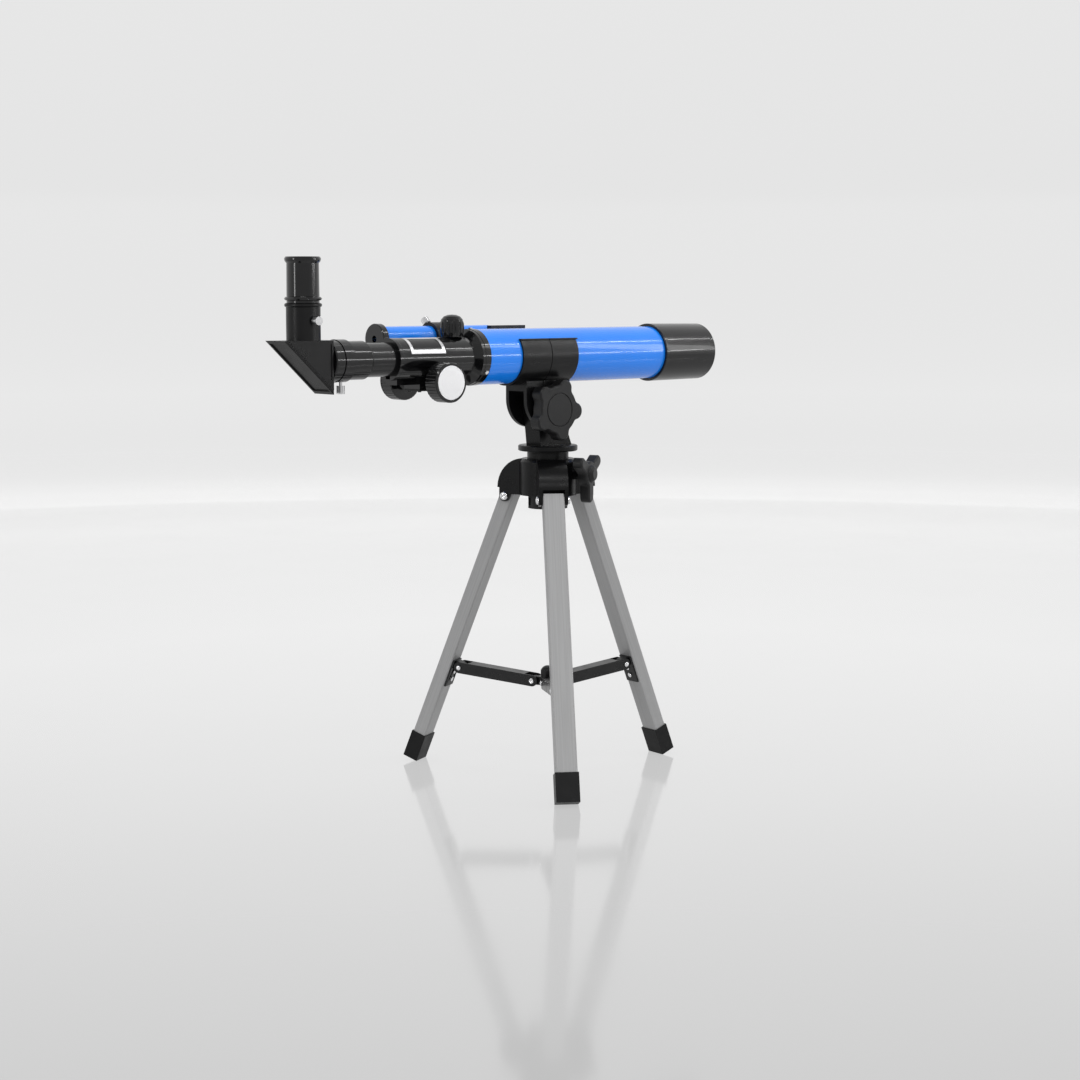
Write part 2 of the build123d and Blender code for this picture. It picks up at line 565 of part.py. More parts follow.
with BuildPart() as objective_lens:
    rod((LENS_REAR, 0, TUBE_Z), (LENS_EDGE + LENS_BULGE, 0, TUBE_Z), LENS_R)
    with Locations((LENS_EDGE + LENS_BULGE - LENS_CURVE, 0, TUBE_Z)):
        Sphere(LENS_CURVE, mode=Mode.INTERSECT)
save(objective_lens.part, "objective_lens")

with BuildPart() as objective_ring:
    turn_x([(LENS_EDGE + 0.3, 22.5), (LENS_EDGE + 0.3, LENS_R - 0.05), (LENS_EDGE + 5, LENS_R - 0.05),
            (LENS_EDGE + 5, 23.5)])
    rod((LENS_EDGE - 5, 0, TUBE_Z), (LENS_EDGE + 2.6, 0, TUBE_Z), 23.2, mode=Mode.SUBTRACT)
save(objective_ring.part, "objective_ring")

# ---- focuser ------------------------------------------------------------------------------------
FLANGE_REAR = -112.0
CONE_REAR = -117.0
SPIGOT_FRONT = -86.0
BLOCK_HALF_Y = 9.0
HOUSING_HALF_Y = 12.0
HOUSING_REAR = -181.0
HOUSING_FRONT = -155.0
HOUSING_Z = 410.5
GROOVE_Z = 420.8
RACK_HALF_Y = 3.0
RACK_REAR = -200.0
RACK_FRONT = -125.5
RACK_TOP = 425.0
body_outline = [(BODY_REAR, DRAW_R + 0.1), (BODY_REAR, BODY_R + 0.2), (BODY_REAR + 4, BODY_R + 0.2),
                (BODY_REAR + 4.5, BODY_R), (CONE_REAR, BODY_R), (FLANGE_REAR, RIM_R - 0.5),
                (FLANGE_REAR + 3, RIM_R - 0.5), (FLANGE_REAR + 3.4, RIM_R), (TUBE_REAR, RIM_R),
                (TUBE_REAR, TUBE_R - TUBE_WALL - FIT), (SPIGOT_FRONT, TUBE_R - TUBE_WALL - FIT),
                (SPIGOT_FRONT, TUBE_R - 4), (TUBE_REAR - 6, TUBE_R - 4), (CONE_REAR - 3, DRAW_R + 0.1)]

with BuildPart() as focuser_body:
    turn_x(body_outline)
    slab((BODY_REAR + 4, -BLOCK_HALF_Y, 415), (CONE_REAR + 3, BLOCK_HALF_Y, TUBE_Z - 17.5))
    slab((HOUSING_REAR, -HOUSING_HALF_Y, HOUSING_Z), (HOUSING_FRONT, HOUSING_HALF_Y, TUBE_Z - 16))
    rod((BODY_REAR - 1, 0, TUBE_Z), (CONE_REAR - 3, 0, TUBE_Z), DRAW_R + 0.1, mode=Mode.SUBTRACT)
    slab((BODY_REAR - 1, -RACK_HALF_Y - GAP, GROOVE_Z), (TUBE_REAR - 4, RACK_HALF_Y + GAP, TUBE_Z - 10),
         mode=Mode.SUBTRACT)
    slab((PINION_X - 6.5, -RACK_HALF_Y - 1, HOUSING_Z - 1), (PINION_X + 6.5, RACK_HALF_Y + 1, RACK_TOP),
         mode=Mode.SUBTRACT)
    rod((PINION_X, -HOUSING_HALF_Y - 1, PINION_Z), (PINION_X, HOUSING_HALF_Y + 1, PINION_Z), SHAFT_R + FIT,
        mode=Mode.SUBTRACT)
    rod((LOCK_X, 0, TUBE_Z), (LOCK_X, 0, TUBE_Z + 30), SHAFT_R + FIT, mode=Mode.SUBTRACT)
save(focuser_body.part, "focuser_body")

SCREW_HEAD_R = 2.0
with BuildPart() as flange_screws:
    for angle in (90, 210, 330):
        direction = Vector(0, cos(radians(angle)), sin(radians(angle)))
        base = Vector((TUBE_REAR + FLANGE_REAR) / 2 + 1.5, 0, TUBE_Z)
        rod(base + direction * RIM_R, base + direction * (RIM_R + 1), SCREW_HEAD_R)
save(flange_screws.part, "flange_screws")

with BuildPart() as pinion_cover:
    slab((HOUSING_REAR, -HOUSING_HALF_Y, HOUSING_Z - 2), (HOUSING_FRONT, HOUSING_HALF_Y, HOUSING_Z))
    for x in (HOUSING_REAR + 3, HOUSING_FRONT - 3):
        for y in (-8, 8):
            rod((x, y, HOUSING_Z - 3), (x, y, HOUSING_Z - 2), 1.8)
save(pinion_cover.part, "pinion_cover")

TOOTH_PITCH = pi * MODULE
TOOTH_HALF = 0.43              # half a tooth at the pitch line; the rest of the pitch is gap and backlash
LEAN = 0.24
with BuildPart() as rack:
    slab((RACK_REAR, -RACK_HALF_Y, PINION_Z + PITCH_R + TOOTH_ROOT), (RACK_FRONT, RACK_HALF_Y, RACK_TOP))
    count = int((RACK_FRONT - RACK_REAR) / 2 / TOOTH_PITCH) - 1
    start = round(((RACK_REAR + RACK_FRONT) / 2 - PINION_X) / TOOTH_PITCH)
    with BuildSketch(Plane.XZ.offset(-RACK_HALF_Y)):
        for k in range(-count, count + 1):
            with Locations((PINION_X + (start + k) * TOOTH_PITCH, PINION_Z + PITCH_R)):
                Polygon((-TOOTH_HALF - LEAN, TOOTH_ROOT + 0.1), (-TOOTH_HALF + LEAN, -TOOTH_TIP),
                        (TOOTH_HALF - LEAN, -TOOTH_TIP), (TOOTH_HALF + LEAN, TOOTH_ROOT + 0.1), align=None)
    extrude(amount=2 * RACK_HALF_Y)
save(rack.part, "rack")

DRAW_REAR = -256.0
DRAW_FRONT = -118.0
with BuildPart() as drawtube:
    turn_x([(DRAW_REAR, DRAW_BORE), (DRAW_REAR, DRAW_R), (DRAW_FRONT, DRAW_R), (DRAW_FRONT, DRAW_BORE)])
    slab((RACK_REAR, -RACK_HALF_Y, 0), (RACK_FRONT, RACK_HALF_Y, RACK_TOP), mode=Mode.SUBTRACT)
save(drawtube.part, "drawtube")

with BuildPart() as pinion_shaft:
    rod((PINION_X, -KNOB_IN, PINION_Z), (PINION_X, KNOB_IN, PINION_Z), SHAFT_R)
    with BuildSketch(Plane.XZ.offset(-RACK_HALF_Y)):
        with Locations((PINION_X, PINION_Z)):
            Circle(PITCH_R - TOOTH_ROOT)
            with PolarLocations(PITCH_R, TEETH, start_angle=90 + 180 / TEETH):
                Polygon((-TOOTH_ROOT - 0.2, -TOOTH_HALF - LEAN), (TOOTH_TIP, -TOOTH_HALF + LEAN),
                        (TOOTH_TIP, TOOTH_HALF - LEAN), (-TOOTH_ROOT - 0.2, TOOTH_HALF + LEAN), align=None)
    extrude(amount=2 * RACK_HALF_Y)
save(pinion_shaft.part, "pinion_shaft")

DISC_FACE_R = 16.6
DISC_DEPTH = 0.9
for side, word in ((-1, "near"), (1, "far")):
    y = [side * value for value in (HOUSING_HALF_Y + 0.4, KNOB_IN, KNOB_OUT, KNOB_OUT - DISC_DEPTH)]
    flare = y[1] - side * 4
    with BuildPart() as focus_knob:
        turn_y([(y[0], SHAFT_R + FIT), (y[0], 5.4), (flare, 5.4), (y[1], 9), (y[1], KNOB_R - 1), (y[1] + side, KNOB_R),
                (y[2] - side, KNOB_R), (y[2], KNOB_R - 0.8), (y[2], DISC_FACE_R + FIT),
                (y[3], DISC_FACE_R + FIT), (y[3], 0), (y[1], 0), (y[1], SHAFT_R + FIT)], PINION_X, PINION_Z)
        with BuildSketch(Plane(origin=(PINION_X, y[1], PINION_Z), z_dir=(0, side, 0))):
            with PolarLocations(KNOB_R + 0.5, 36):
                Circle(1.0)
        extrude(amount=KNOB_OUT - KNOB_IN - 1.5, mode=Mode.SUBTRACT)
    save(focus_knob.part, f"focus_knob_{word}")
    with BuildPart() as knob_disc:
        rod((PINION_X, y[3], PINION_Z), (PINION_X, y[2], PINION_Z), DISC_FACE_R)
    save(knob_disc.part, f"knob_disc_{word}")

LOCK_BASE = TUBE_Z + BODY_R + 0.4
with BuildPart() as focus_lock_knob:
    turn_z([(0, LOCK_BASE), (10.6, LOCK_BASE), (11.8, LOCK_BASE + 4), (12.3, LOCK_BASE + 8),
            (12.0, LOCK_BASE + 13), (11.0, LOCK_BASE + 16), (10.9, LOCK_BASE + 17), (8.2, LOCK_BASE + 20),
            (4.5, LOCK_BASE + 21.5), (0, LOCK_BASE + 21.9)], x=LOCK_X)
    with BuildSketch(Plane.XY.offset(LOCK_BASE)):
        with Locations((LOCK_X, 0)):
            with PolarLocations(13.0, 12):
                Circle(2.0)
    extrude(amount=15, mode=Mode.SUBTRACT)
    rod((LOCK_X, 0, TUBE_Z + DRAW_R + 0.2), (LOCK_X, 0, LOCK_BASE), SHAFT_R)
save(focus_lock_knob.part, "focus_lock_knob")

PANEL_X = -175.5
PANEL_ANGLE = 47.5
panel = Plane(origin=(PANEL_X, 0, TUBE_Z), x_dir=(1, 0, 0),
              z_dir=(0, -cos(radians(PANEL_ANGLE)), sin(radians(PANEL_ANGLE))))
with BuildPart() as label_frame:
    turn_x([(PANEL_X - 30, BODY_R + 0.02), (PANEL_X - 30, BODY_R + 0.3), (PANEL_X + 30, BODY_R + 0.3),
            (PANEL_X + 30, BODY_R + 0.02)])
    with BuildSketch(panel):
        Rectangle(43, 22.4)
        Rectangle(36, 15.4, mode=Mode.SUBTRACT)
    extrude(amount=40, mode=Mode.INTERSECT)
save(label_frame.part, "label_frame")

# ---- draw collar and diagonal ---------------------------------------------------------------------
SLEEVE_FRONT = -241.5
SLEEVE_R = 18.7
COLLAR_R = 20.5
COLLAR_GROOVE_X = -276.0
COLLAR_GROOVE = 0.9
SCREW_X = -268.5
with BuildPart() as draw_collar:
    turn_x([(COLLAR_REAR, NOSE_R + FIT), (COLLAR_REAR, COLLAR_R - 1.6), (COLLAR_REAR + 1, COLLAR_R - 0.6),
            (COLLAR_GROOVE_X - COLLAR_GROOVE, COLLAR_R - 0.6), (COLLAR_GROOVE_X - COLLAR_GROOVE, COLLAR_R - 1.5),
            (COLLAR_GROOVE_X, COLLAR_R - 1.5), (COLLAR_GROOVE_X, COLLAR_R), (COLLAR_FRONT - 1, COLLAR_R),
            (COLLAR_FRONT, SLEEVE_R), (SLEEVE_FRONT - 2, SLEEVE_R), (SLEEVE_FRONT, DRAW_R + 0.5),
            (SLEEVE_FRONT, DRAW_R + FIT), (DRAW_REAR, DRAW_R + FIT), (DRAW_REAR, NOSE_R + FIT)])
    rod((SCREW_X, 0, TUBE_Z - 10), (SCREW_X, 0, TUBE_Z - 30), SCREW_R + FIT, mode=Mode.SUBTRACT)
save(draw_collar.part, "draw_collar")

with BuildPart() as collar_screw:
    thumbscrew((SCREW_X, 0, TUBE_Z - NOSE_R - GAP), (SCREW_X, 0, TUBE_Z - 23.6), (SCREW_X, 0, TUBE_Z - 31.6))
save(collar_screw.part, "collar_screw")

slope = atan2(DIAG_TOP - DIAG_BOTTOM, DIAG_FRONT - DIAG_REAR)
SOCKET_SCREW_Z = 478.5
PANEL_THICK = 3.0
WALL = 2.2
inset_x = PANEL_THICK / sin(slope)
prism = [(DIAG_REAR + inset_x, DIAG_TOP), (DIAG_FRONT, DIAG_TOP),
         (DIAG_FRONT, DIAG_BOTTOM + PANEL_THICK / cos(slope))]
with BuildPart() as diagonal_housing:
    with BuildSketch(Plane.XZ):
        Polygon(*prism, align=None)
    extrude(amount=DIAG_HALF_Y, both=True)
    with BuildSketch(Plane.XZ):
        Polygon(*prism, align=None)
        offset(amount=-WALL, kind=Kind.INTERSECTION)
    extrude(amount=DIAG_HALF_Y - WALL, both=True, mode=Mode.SUBTRACT)
    for side in (-1, 1):
        with BuildSketch(Plane.XZ.offset(side * DIAG_HALF_Y)):
            Polygon((DIAG_REAR + 15, DIAG_TOP - 3), (DIAG_FRONT - 2, DIAG_TOP - 3),
                    (DIAG_FRONT - 2, DIAG_BOTTOM + 13), align=None)
        extrude(amount=-side * 0.8, mode=Mode.SUBTRACT)
    turn_z([(NOSE_R + FIT, DIAG_TOP), (SOCKET_R, DIAG_TOP), (SOCKET_R, SOCKET_TOP - 4),
            (SOCKET_R + 1.4, SOCKET_TOP - 3), (SOCKET_R + 1.4, SOCKET_TOP - 1), (SOCKET_R, SOCKET_TOP),
            (NOSE_R + FIT, SOCKET_TOP)], x=EYE_X)
    rod((EYE_X, 0, DIAG_TOP - WALL - 1), (EYE_X, 0, DIAG_TOP + 1), NOSE_R - 1.5, mode=Mode.SUBTRACT)
    rod((DIAG_FRONT - WALL - 1, 0, TUBE_Z), (DIAG_FRONT + 1, 0, TUBE_Z), NOSE_R - 1.3, mode=Mode.SUBTRACT)
    rod((EYE_X, -10, SOCKET_SCREW_Z), (EYE_X, -20, SOCKET_SCREW_Z), SCREW_R + FIT, mode=Mode.SUBTRACT)
save(diagonal_housing.part, "diagonal_housing")

with BuildPart() as diagonal_nose:
    turn_x([(DIAG_FRONT, NOSE_R - 1.3), (DIAG_FRONT, NOSE_R), (-258.5, NOSE_R), (-258, NOSE_R - 0.5),
            (-258, NOSE_R - 1.3)])
save(diagonal_nose.part, "diagonal_nose")

with BuildPart() as diagonal_cover:
    with BuildSketch(Plane.XZ):
        Polygon((DIAG_REAR, DIAG_TOP), (DIAG_REAR + inset_x, DIAG_TOP),
                (DIAG_FRONT, DIAG_BOTTOM + PANEL_THICK / cos(slope)), (DIAG_FRONT, DIAG_BOTTOM), align=None)
    extrude(amount=DIAG_HALF_Y, both=True)
    span = hypot(DIAG_FRONT - DIAG_REAR, DIAG_TOP - DIAG_BOTTOM)
    middle = ((DIAG_REAR + DIAG_FRONT) / 2, 0, (DIAG_TOP + DIAG_BOTTOM) / 2)
    with BuildSketch(Plane(origin=middle, x_dir=(cos(slope), 0, -sin(slope)),
                           z_dir=(-sin(slope), 0, -cos(slope)))):
        Rectangle(span - 9, 2 * DIAG_HALF_Y - 5)
    extrude(amount=-1.2, mode=Mode.SUBTRACT)
save(diagonal_cover.part, "diagonal_cover")

with BuildPart() as diagonal_mirror:
    with BuildSketch(Plane(origin=middle, x_dir=(cos(slope), 0, -sin(slope)),
                           z_dir=(sin(slope), 0, cos(slope))).offset(PANEL_THICK + WALL)):
        Rectangle(36, 2 * (DIAG_HALF_Y - WALL) - 1)
    extrude(amount=2)
save(diagonal_mirror.part, "diagonal_mirror")

with BuildPart() as socket_screw:
    thumbscrew((EYE_X, -NOSE_R - GAP, SOCKET_SCREW_Z), (EYE_X, -18.5, SOCKET_SCREW_Z), (EYE_X, -25, SOCKET_SCREW_Z))
save(socket_screw.part, "socket_screw")

EYE_BODY_R = 15.5
with BuildPart() as eyepiece:
    turn_z([(11, 468), (NOSE_R, 468), (NOSE_R, SOCKET_TOP), (EYE_BODY_R, SOCKET_TOP),
            (EYE_BODY_R, SOCKET_TOP + 2), (16.9, SOCKET_TOP + 2.6), (17.9, SOCKET_TOP + 4),
            (16.9, SOCKET_TOP + 5.4), (EYE_BODY_R, SOCKET_TOP + 6), (EYE_BODY_R - 0.2, EYEPIECE_TOP - 6),
            (16.6, EYEPIECE_TOP - 4.5), (17.2, EYEPIECE_TOP - 3), (17.2, EYEPIECE_TOP - 1.5),
            (16.2, EYEPIECE_TOP), (14.6, EYEPIECE_TOP), (13.6, 533), (9.5, 529), (9.5, 524), (11, 520)], x=EYE_X)
save(eyepiece.part, "eyepiece")

with BuildPart() as eye_lens:
    rod((EYE_X, 0, 524.5), (EYE_X, 0, 528), 9.5 - FIT)
save(eye_lens.part, "eye_lens")

# ---- finder -------------------------------------------------------------------------------------
CAP_FRONT = -185.5
with BuildPart() as finder_tube:
    turn_x([(CAP_FRONT, 11.2), (CAP_FRONT, FINDER_R), (FINDER_FRONT, FINDER_R), (FINDER_FRONT, 11.2)],
           FINDER_Y, FINDER_Z)
save(finder_tube.part, "finder_tube")

with BuildPart() as finder_eyecap:
    turn_x([(FINDER_REAR, 3.5), (FINDER_REAR, 14.6), (FINDER_REAR + 0.8, 15.3), (CAP_FRONT - 0.8, 15.3),
            (CAP_FRONT, 14.6), (CAP_FRONT, 11.1), (CAP_FRONT + 8, 11.1), (CAP_FRONT + 8, 9.5),
            (FINDER_REAR + 4, 5)], FINDER_Y, FINDER_Z)
save(finder_eyecap.part, "finder_eyecap")

with BuildPart() as finder_front_ring:
    turn_x([(FINDER_FRONT - 8, 9.6), (FINDER_FRONT - 8, 11.1), (FINDER_FRONT, 11.1), (FINDER_FRONT, 10.2)],
           FINDER_Y, FINDER_Z)
save(finder_front_ring.part, "finder_front_ring")

with BuildPart() as finder_lens:
    rod((FINDER_FRONT - 11, FINDER_Y, FINDER_Z), (FINDER_FRONT - 8, FINDER_Y, FINDER_Z), 11.1)
save(finder_lens.part, "finder_lens")

RING_REAR = -123.0
RING_FRONT = -104.0
RING_R = 16.0
reach = hypot(FINDER_Y, FINDER_Z - TUBE_Z)
toward_tube = Vector(0, -FINDER_Y / reach, -(FINDER_Z - TUBE_Z) / reach)
screw_way = Vector(0, sin(radians(45)), cos(radians(45)))
ring_centre = Vector((RING_REAR + RING_FRONT) / 2, FINDER_Y, FINDER_Z)
with BuildPart() as finder_bracket:
    turn_x([(RING_REAR, FINDER_R + FIT), (RING_REAR, RING_R), (RING_FRONT, RING_R),
            (RING_FRONT, FINDER_R + FIT)], FINDER_Y, FINDER_Z)
    with BuildSketch(Plane(origin=ring_centre + toward_tube * 14, x_dir=(1, 0, 0), z_dir=toward_tube)):
        Rectangle(RING_FRONT - RING_REAR, 11)
    extrude(amount=reach - 14)
    turn_x([(RING_REAR - 5, 0), (RING_REAR - 5, BODY_R + FIT), (CONE_REAR, BODY_R + FIT),
            (FLANGE_REAR, RIM_R + FIT), (RING_FRONT + 5, RIM_R + FIT), (RING_FRONT + 5, 0)],
           mode=Mode.SUBTRACT)
    rod(ring_centre + screw_way * 8, ring_centre + screw_way * 20, SCREW_R + FIT, mode=Mode.SUBTRACT)
save(finder_bracket.part, "finder_bracket")

with BuildPart() as finder_screw:
    thumbscrew(ring_centre + screw_way * (FINDER_R + GAP), ring_centre + screw_way * 20,
               ring_centre + screw_way * 26.5)
save(finder_screw.part, "finder_screw")
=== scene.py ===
import json
import math
import bmesh
import bpy
from mathutils import Matrix, Vector


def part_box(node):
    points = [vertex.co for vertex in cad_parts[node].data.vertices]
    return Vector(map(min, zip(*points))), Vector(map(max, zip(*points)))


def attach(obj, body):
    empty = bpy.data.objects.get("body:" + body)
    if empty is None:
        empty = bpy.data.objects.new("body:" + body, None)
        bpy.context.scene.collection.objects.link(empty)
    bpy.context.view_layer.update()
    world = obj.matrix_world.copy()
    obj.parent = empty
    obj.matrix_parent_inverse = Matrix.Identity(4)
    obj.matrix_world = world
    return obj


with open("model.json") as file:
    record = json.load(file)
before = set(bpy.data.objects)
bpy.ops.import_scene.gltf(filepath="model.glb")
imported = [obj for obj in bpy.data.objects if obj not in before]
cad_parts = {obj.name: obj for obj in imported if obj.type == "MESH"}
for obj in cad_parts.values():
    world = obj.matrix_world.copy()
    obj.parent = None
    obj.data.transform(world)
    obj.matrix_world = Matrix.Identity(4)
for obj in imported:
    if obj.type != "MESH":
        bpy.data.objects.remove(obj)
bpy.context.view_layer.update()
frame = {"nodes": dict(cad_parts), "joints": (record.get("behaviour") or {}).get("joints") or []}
nodes = frame["nodes"]
scene = bpy.context.scene
scene.view_settings.view_transform = "Standard"

LEGS = (1, 2, 3)
MM = 0.001
CAMERA_PLACE = (-1.49569, -1.63001, 0.50739)
CAMERA_FORWARD = (0.668756, 0.734222, -0.116978)
LEVEL_FORWARD = (0.673, 0.739, 0.0)      # the camera's direction along the floor
SENSOR_MM = 36.0
LENS_MM = 70.87


# ---- camera -------------------------------------------------------------------------------------
def aim(forward):
    """Rotation of a camera or light that looks along forward, with its top edge level."""
    forward = Vector(forward).normalized()
    right = forward.cross(Vector((0, 0, 1))).normalized()
    up = right.cross(forward)
    return Matrix((right, up, -forward)).transposed().to_4x4()


camera = bpy.data.objects.new("camera", bpy.data.cameras.new("camera"))
camera.data.sensor_width = SENSOR_MM
camera.data.lens = LENS_MM
camera.matrix_world = Matrix.Translation(CAMERA_PLACE) @ aim(CAMERA_FORWARD)
scene.collection.objects.link(camera)
scene.camera = camera


# ---- materials ----------------------------------------------------------------------------------
def socket(bsdf, name, value):
    if name in bsdf.inputs:
        bsdf.inputs[name].default_value = value


class Surface:
    """A procedural material whose colour, roughness and bump come from noise in the part's own frame."""

    def __init__(self, name, colour, roughness, metallic=0.0):
        self.material = bpy.data.materials.new(name)
        self.material.use_nodes = True
        self.tree = self.material.node_tree
        self.nodes = self.tree.nodes
        self.bsdf = self.nodes["Principled BSDF"]
        self.colour = colour
        self.roughness = roughness
        socket(self.bsdf, "Metallic", metallic)
        self.coordinate = self.add("ShaderNodeTexCoord").outputs["Object"]
        self.height = None

    def add(self, kind, **settings):
        node = self.nodes.new(kind)
        for key, value in settings.items():
            setattr(node, key, value)
        return node

    def join(self, output, target):
        self.tree.links.new(output, target)

    def set(self, **values):
        for key, value in values.items():
            socket(self.bsdf, key.replace("_", " "), value)
        return self

    def turned(self, direction, stretch):
        """Coordinates with Z turned to direction, then scaled by stretch."""
        turn = self.add("ShaderNodeMapping")
        to_z = Vector(direction).rotation_difference(Vector((0, 0, 1)))
        turn.inputs["Rotation"].default_value = to_z.to_euler()
        scale = self.add("ShaderNodeMapping")
        scale.inputs["Scale"].default_value = stretch
        self.join(self.coordinate, turn.inputs["Vector"])
        self.join(turn.outputs["Vector"], scale.inputs["Vector"])
        return scale.outputs["Vector"]

    def noise(self, scale, detail=2.0, coordinate=None, distortion=0.0):
        node = self.add("ShaderNodeTexNoise")
        node.inputs["Scale"].default_value = scale
        node.inputs["Detail"].default_value = detail
        node.inputs["Distortion"].default_value = distortion
        self.join(coordinate or self.coordinate, node.inputs["Vector"])
        return node.outputs["Fac"]

    def ranged(self, value, low, high, out_low, out_high):
        node = self.add("ShaderNodeMapRange")
        limits = {"From Min": low, "From Max": high, "To Min": out_low, "To Max": out_high}
        for key, number in limits.items():
            node.inputs[key].default_value = number
        self.join(value, node.inputs["Value"])
        return node.outputs["Result"]

    def tint(self, value, darker, lighter, low=0.35, high=0.65):
        """Base colour between two shades of the material's colour, as value goes from low to high."""
        ramp = self.add("ShaderNodeValToRGB")
        ramp.color_ramp.elements[0].position = low
        ramp.color_ramp.elements[1].position = high
        ramp.color_ramp.elements[0].color = [c * darker for c in self.colour] + [1]
        ramp.color_ramp.elements[1].color = [min(1, c * lighter) for c in self.colour] + [1]
        self.join(value, ramp.inputs["Fac"])
        self.join(ramp.outputs["Color"], self.bsdf.inputs["Base Color"])
        return self

    def rough(self, value, spread):
        self.join(self.ranged(value, 0.3, 0.7, self.roughness - spread, self.roughness + spread),
                  self.bsdf.inputs["Roughness"])
        return self

    def bump(self, value, distance, strength=1.0):
        node = self.add("ShaderNodeBump")
        node.inputs["Distance"].default_value = distance
        node.inputs["Strength"].default_value = strength
        self.join(value, node.inputs["Height"])
        if self.height:
            self.join(self.height, node.inputs["Normal"])
        self.height = node.outputs["Normal"]
        self.join(self.height, self.bsdf.inputs["Normal"])
        return self


def moulded(name, colour, roughness, grain, depth):
    """Moulded plastic: fine spark-eroded grain, faint flow marks and handling smudges."""
    s = Surface(name, colour, roughness)
    s.tint(s.noise(45, 3), 0.86, 1.16).rough(s.noise(70, 4, distortion=0.6), 0.05)
    s.bump(s.noise(grain, 2), depth).bump(s.noise(60, 1), 0.000006)
    return s


def paint(name, colour, roughness, coat):
    """Sprayed gloss paint: slow shade drift, orange peel and a clear coat."""
    s = Surface(name, colour, roughness)
    s.tint(s.noise(14, 2), 0.96, 1.04).rough(s.noise(50, 3), 0.03)
    s.bump(s.noise(300, 1), 0.000002)
    return s.set(Coat_Weight=coat, Coat_Roughness=0.04, Specular_IOR_Level=0.32)


def brushed(name, colour, roughness, direction, metallic=1.0, depth=0.000015):
    """Metal with drawn lines along direction."""
    s = Surface(name, colour, roughness, metallic)
    lines = s.noise(1.0, 3, s.turned(direction, (900, 900, 9)))
    s.tint(lines, 0.93, 1.06).rough(s.noise(1.0, 2, s.turned(direction, (500, 500, 14))), 0.05)
    return s.bump(lines, depth)


def plated(name, colour, roughness):
    """Bright nickel or chrome plate with light wipe marks."""
    s = Surface(name, colour, roughness, 1.0)
    s.tint(s.noise(150, 2), 0.93, 1.0).rough(s.noise(240, 3), 0.04)
    return s.bump(s.noise(700, 1), 0.000004)


def spun(name, colour, roughness, centre):
    """A turned disc: fine circles about a line along Y through centre."""
    s = Surface(name, colour, roughness, 0.85)
    place = s.add("ShaderNodeMapping")
    place.inputs["Location"].default_value = [-c for c in centre]
    flat = s.add("ShaderNodeVectorMath", operation="MULTIPLY")
    flat.inputs[1].default_value = (1, 0, 1)
    length = s.add("ShaderNodeVectorMath", operation="LENGTH")
    s.join(s.coordinate, place.inputs["Vector"])
    s.join(place.outputs["Vector"], flat.inputs[0])
    s.join(flat.outputs["Vector"], length.inputs[0])
    circles = s.add("ShaderNodeTexNoise", noise_dimensions="1D")
    circles.inputs["Scale"].default_value = 1.0
    stretch = s.add("ShaderNodeMath", operation="MULTIPLY")
    stretch.inputs[1].default_value = 1500
    s.join(length.outputs["Value"], stretch.inputs[0])
    s.join(stretch.outputs["Value"], circles.inputs["W"])
    s.tint(circles.outputs["Fac"], 0.94, 1.05).rough(s.noise(90, 2), 0.05)
    return s.bump(circles.outputs["Fac"], 0.00001)


def glass(name, colour):
    """Coated lens glass with a blue sheen."""
    s = Surface(name, colour, 0.03)
    s.tint(s.noise(8, 1), 0.9, 1.0).rough(s.noise(120, 2), 0.02)
    return s.set(Transmission_Weight=0.85, IOR=1.5, Coat_Weight=1.0, Coat_Tint=(0.55, 0.75, 1.0, 1.0))


DEEP_BLACK = (0.0035, 0.0035, 0.0038)
GLOSS_BLACK = (0.0035, 0.0035, 0.004)
SATIN_BLACK = (0.005, 0.005, 0.0054)
CHANNEL_BLACK = (0.006, 0.006, 0.0064)
KNOB_BLACK = (0.011, 0.011, 0.0115)
LEG_GREY = (0.345, 0.345, 0.347)
DISC_SILVER = (0.72, 0.72, 0.73)

satin = moulded("black_satin_plastic", SATIN_BLACK, 0.32, 1500, 0.00003)
satin.set(Specular_IOR_Level=0.26)
# a darker copy of the black satin plastic for the crown, pan head and diagonal cover: its lower base colour
# is painted shade, to offset the lamps' light on the crown, and its specular is lowered too
shaded_crown_black = moulded("black_crown_plastic_shaded", DEEP_BLACK, 0.30, 1300, 0.00003)
shaded_crown_black.set(Specular_IOR_Level=0.2)
knob_black = moulded("black_knob_plastic", KNOB_BLACK, 0.40, 1100, 0.00005)
knob_black.set(Specular_IOR_Level=0.28)
gloss = moulded("black_gloss_plastic", GLOSS_BLACK, 0.14, 900, 0.000005)
gloss.set(Specular_IOR_Level=0.35, Coat_Weight=0.35, Coat_Roughness=0.05)
enamel = paint("black_enamel", GLOSS_BLACK, 0.24, 0.35)
channel = moulded("black_channel_paint", CHANNEL_BLACK, 0.30, 1600, 0.00001)
channel.set(Specular_IOR_Level=0.3)
foot_black = moulded("black_foot_plastic", DEEP_BLACK, 0.42, 1200, 0.00005)
foot_black.set(Specular_IOR_Level=0.2)
blue = paint("blue_gloss_paint", (0.008, 0.235, 0.94), 0.22, 0.5)
chrome = plated("chrome", (0.82, 0.82, 0.83), 0.10)
steel = plated("steel", (0.55, 0.55, 0.56), 0.28)
lens = glass("coated_glass", (0.80, 0.88, 0.95))
silver_line = plated("silver_print", DISC_SILVER, 0.35)
mirror = plated("mirror", (0.9, 0.9, 0.92), 0.04)


def middle(node):
    low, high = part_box(node)
    return (low + high) / 2


def smooth(data):
    data.polygons.foreach_set("use_smooth", [True] * len(data.polygons))


def ring(mesh, radius, height, count):
    """A circle of count points about Z."""
    turns = [2 * math.pi * k / count for k in range(count)]
    return [mesh.verts.new((radius * math.cos(turn), radius * math.sin(turn), height)) for turn in turns]


